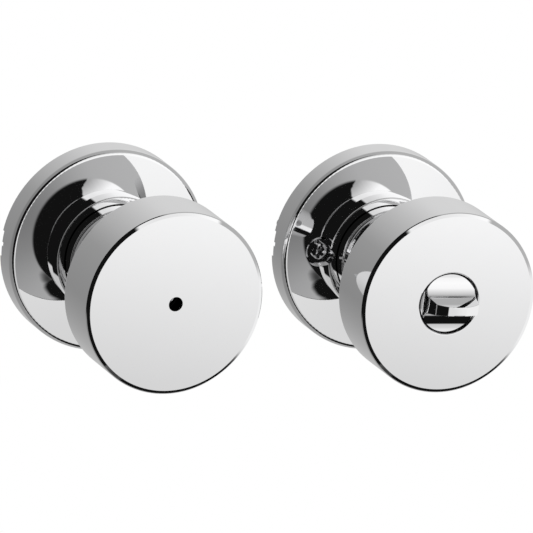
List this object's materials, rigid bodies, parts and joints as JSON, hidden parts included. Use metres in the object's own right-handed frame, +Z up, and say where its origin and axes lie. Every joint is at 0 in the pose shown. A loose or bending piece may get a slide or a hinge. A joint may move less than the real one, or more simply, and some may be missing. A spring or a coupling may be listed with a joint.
{
  "type": "privacy knob lock",
  "caption": "Polished chrome privacy knob set: outside and inside halves with round roses, drum knobs, an emergency release hole and a turn button.",
  "frame": {"origin": "on the outside knob's axis, in the plane of the door face behind both roses", "axes": "+X from the outside half to the inside half, +Y into the door, +Z up; the knobs point to -Y"},
  "size_m": [0.1609, 0.1159, 0.0666],
  "materials": {
    "polished_chrome": "polished chrome plate",
    "screw_chrome": "bright chrome plate",
    "zinc_plated_steel": "bright zinc plate",
    "spring_steel": "oiled spring steel",
    "brass": "turned brass"
  },
  "bodies": {
    "fixed_trim": {"outside_rose": "polished_chrome", "outside_mounting_plate": "zinc_plated_steel", "outside_bush": "brass", "outside_return_spring": "spring_steel", "left_post": "zinc_plated_steel", "right_post": "zinc_plated_steel", "inside_rose": "polished_chrome", "inside_mounting_plate": "zinc_plated_steel", "inside_bush": "brass", "inside_return_spring": "spring_steel", "left_screw": "screw_chrome", "right_screw": "screw_chrome"},
    "outside_knob": {"outside_knob_cap": "polished_chrome", "outside_knob_back": "polished_chrome", "outside_shank": "zinc_plated_steel", "outside_driver": "zinc_plated_steel", "outside_retaining_ring": "spring_steel", "drive_spindle": "zinc_plated_steel", "spindle_pin": "zinc_plated_steel"},
    "release": {"release_stem": "zinc_plated_steel", "release_clip": "spring_steel"},
    "inside_knob": {"inside_knob_cap": "polished_chrome", "inside_knob_back": "polished_chrome", "inside_shank": "zinc_plated_steel", "inside_driver": "zinc_plated_steel", "inside_retaining_ring": "spring_steel", "button_guide": "spring_steel", "button_washer": "spring_steel"},
    "button": {"turn_button": "polished_chrome", "turn_bar": "zinc_plated_steel", "button_clip": "spring_steel"}
  },
  "joints": [
    {"name": "outside_knob_turn", "type": "hinge", "parent": "fixed_trim", "child": "outside_knob", "pos_m": [0, 0, 0], "axis": [0, -1, 0], "range_deg": [-55, 55], "stiffness_Nm_per_rad": 0.2, "deforming": ["outside_return_spring"]},
    {"name": "inside_knob_turn", "type": "hinge", "parent": "fixed_trim", "child": "inside_knob", "pos_m": [0.0943, 0, 0], "axis": [0, -1, 0], "range_deg": [-55, 55], "stiffness_Nm_per_rad": 0.2, "deforming": ["inside_return_spring"]},
    {"name": "turn_button_turn", "type": "hinge", "parent": "inside_knob", "child": "button", "pos_m": [0.0943, 0, 0], "axis": [0, -1, 0], "range_deg": [-90, 0]},
    {"name": "release_turn", "type": "hinge", "parent": "outside_knob", "child": "release", "pos_m": [0, 0, 0], "axis": [0, -1, 0], "range_deg": [0, 90]}
  ]
}
